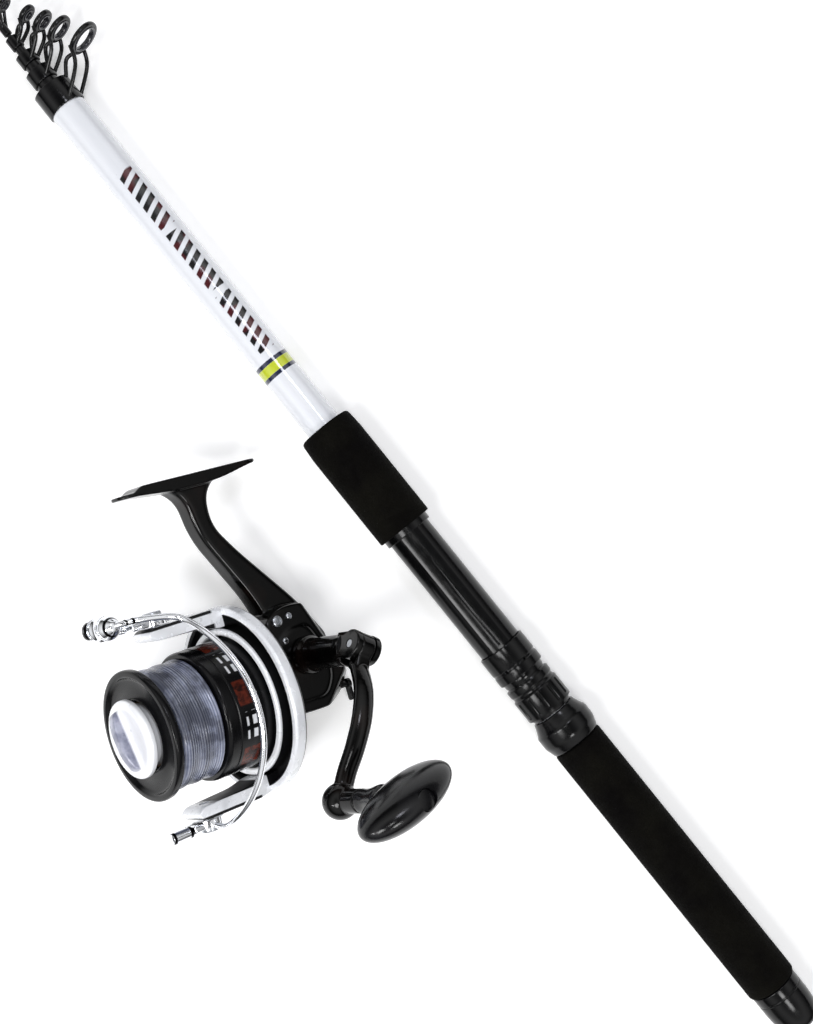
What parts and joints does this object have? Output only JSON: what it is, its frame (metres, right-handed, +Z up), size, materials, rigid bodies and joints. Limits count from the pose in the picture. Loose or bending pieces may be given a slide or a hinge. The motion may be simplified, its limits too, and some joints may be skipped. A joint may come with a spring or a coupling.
{
  "type": "fishing rod and reel",
  "caption": "Telescopic fishing rod with foam grips and a screw reel seat, lying beside a fixed-spool spinning reel with a folding crank handle and a wire bail.",
  "frame": {"origin": "on the floor, at the middle of the box round the rod and the reel", "axes": "+X runs along the rod from its butt to its tip, +Z is up"},
  "size_m": [0.559, 0.185, 0.1306],
  "materials": {
    "blank_white": "gloss lacquer over wound glass fibre",
    "blank_black": "gloss lacquer",
    "grip_foam": "matte closed-cell foam",
    "black_gloss": "gloss moulded plastic",
    "black_painted": "gloss black paint",
    "guide_frame": "gloss black paint",
    "ring_ceramic": "polished ceramic",
    "silver_paint": "gloss silver-white paint on moulded plastic",
    "bail_chrome": "polished plate",
    "steel": "satin",
    "brass": "cut gear metal",
    "line": "wound monofilament",
    "felt": "pressed felt",
    "knob_rubber": "smooth moulded plastic"
  },
  "bodies": {
    "rod": {"butt_cap": "black_gloss", "rear_grip": "grip_foam", "butt_section": "blank_white", "seat_ring": "black_gloss", "seat_barrel": "black_gloss", "fixed_hood": "black_gloss", "fore_grip": "grip_foam", "guide_1": "guide_frame", "guide_1_ring": "ring_ceramic"},
    "section_2": {"section_2": "blank_black", "guide_2": "guide_frame", "guide_2_ring": "ring_ceramic"},
    "section_3": {"section_3": "blank_black", "guide_3": "guide_frame", "guide_3_ring": "ring_ceramic"},
    "section_4": {"section_4": "blank_black", "guide_4": "guide_frame", "guide_4_ring": "ring_ceramic"},
    "section_5": {"section_5": "blank_black", "tip_top": "guide_frame", "tip_top_ring": "ring_ceramic"},
    "sliding_hood": {"sliding_hood": "black_gloss"},
    "lock_nut": {"lock_nut": "black_gloss"},
    "reel_body": {"gear_housing": "black_gloss", "side_cover": "black_gloss", "cover_screw_1": "steel", "cover_screw_2": "steel", "cover_screw_3": "steel", "shaft_cap": "black_gloss", "bearing_cover_side": "steel", "bearing_handle_side": "steel", "bearing_pinion": "steel", "crosshead_rail": "steel", "housing_screw": "steel"},
    "anti_reverse_lever": {"anti_reverse_lever": "black_gloss"},
    "handle_drive": {"drive_gear": "brass", "handle_hub": "black_painted", "fold_pin": "steel"},
    "rotor": {"rotor": "silver_paint", "rotor_nut": "steel", "pinion_gear": "brass", "bail_screw_upper": "steel", "bail_screw_lower": "steel"},
    "crank_gear": {"crank_gear": "brass"},
    "main_shaft": {"main_shaft": "steel", "crosshead": "steel"},
    "spool": {"spool": "black_painted", "line_pack": "line", "drag_felt_rear": "felt", "drag_washer": "steel", "drag_felt_front": "felt"},
    "drag_knob": {"drag_knob": "silver_paint"},
    "bail": {"bail_arm": "bail_chrome", "bail_wire": "bail_chrome", "roller_screw": "steel"},
    "line_roller": {"line_roller": "bail_chrome"},
    "handle_arm": {"handle_arm": "black_painted", "knob_pin": "steel"},
    "handle_knob": {"handle_knob": "knob_rubber", "knob_cap": "black_gloss"}
  },
  "joints": [
    {"name": "section_2_slide", "type": "slide", "parent": "rod", "child": "section_2", "axis": [1, 0, 0], "range_m": [0, 0.435]},
    {"name": "section_3_slide", "type": "slide", "parent": "section_2", "child": "section_3", "axis": [1, 0, 0], "range_m": [0, 0.44]},
    {"name": "section_4_slide", "type": "slide", "parent": "section_3", "child": "section_4", "axis": [1, 0, 0], "range_m": [0, 0.45]},
    {"name": "section_5_slide", "type": "slide", "parent": "section_4", "child": "section_5", "axis": [1, 0, 0], "range_m": [0, 0.46]},
    {"name": "hood_slide", "type": "slide", "parent": "rod", "child": "sliding_hood", "axis": [1, 0, 0], "range_m": [0, 0.0121]},
    {"name": "lock_nut_turn", "type": "hinge", "parent": "sliding_hood", "child": "lock_nut", "pos_m": [-0.09698, -0.06053, 0.0129], "axis": [1, 0, 0], "range_deg": [0, 2160]},
    {"name": "reel_lift", "type": "slide", "parent": "rod", "child": "reel_body", "axis": [0, 0, 1], "range_m": [0, 0.15]},
    {"name": "handle_turn", "type": "hinge", "parent": "reel_body", "child": "handle_drive", "pos_m": [-0.01781, 0.01319, 0.01502], "axis": [-0.2702, -0.5698, 0.7761], "range_deg": [-200, 85]},
    {"name": "rotor_turn", "type": "hinge", "parent": "reel_body", "child": "rotor", "pos_m": [-0.02698, 0.01717, 0.01475], "axis": [0.2934, 0.719, 0.6301], "continuous": true},
    {"name": "crank_gear_turn", "type": "hinge", "parent": "reel_body", "child": "crank_gear", "pos_m": [-0.02979, 0.0095, 0.00814], "axis": [-0.2702, -0.5698, 0.7761], "continuous": true},
    {"name": "anti_reverse_turn", "type": "hinge", "parent": "reel_body", "child": "anti_reverse_lever", "pos_m": [-0.042, 0.00332, 0.0058], "axis": [0.2934, 0.719, 0.6301], "range_deg": [0, 40]},
    {"name": "spool_stroke", "type": "slide", "parent": "reel_body", "child": "main_shaft", "axis": [0.2934, 0.719, 0.6301], "range_m": [-0.0035, 0.0035]},
    {"name": "spool_spin", "type": "hinge", "parent": "main_shaft", "child": "spool", "pos_m": [-0.02698, 0.01717, 0.01475], "axis": [0.2934, 0.719, 0.6301], "continuous": true},
    {"name": "drag_knob_turn", "type": "hinge", "parent": "main_shaft", "child": "drag_knob", "pos_m": [-0.02698, 0.01717, 0.01475], "axis": [0.2934, 0.719, 0.6301], "range_deg": [-360, 360]},
    {"name": "bail_flip", "type": "hinge", "parent": "rotor", "child": "bail", "pos_m": [-0.00967, 0.05959, 0.05192], "axis": [-0.917, 0.3979, -0.0271], "range_deg": [0, 130]},
    {"name": "line_roller_spin", "type": "hinge", "parent": "bail", "child": "line_roller", "pos_m": [0.0388, 0.05802, 0.06764], "axis": [-0.2702, -0.5698, 0.7761], "continuous": true},
    {"name": "handle_fold", "type": "hinge", "parent": "handle_drive", "child": "handle_arm", "pos_m": [-0.03186, -0.01644, 0.05538], "axis": [-0.7455, -0.3863, -0.5431], "range_deg": [0, 20]},
    {"name": "knob_spin", "type": "hinge", "parent": "handle_arm", "child": "handle_knob", "pos_m": [-0.07187, 0.02584, 0.08022], "axis": [-0.2702, -0.5698, 0.7761], "continuous": true}
  ],
  "couplings": [
    {"joint": "hood_slide", "follows": "lock_nut_turn", "m_per_rad": 0.00031831},
    {"joint": "rotor_turn", "follows": "handle_turn", "ratio": 5},
    {"joint": "crank_gear_turn", "follows": "handle_turn", "ratio": -0.6}
  ]
}
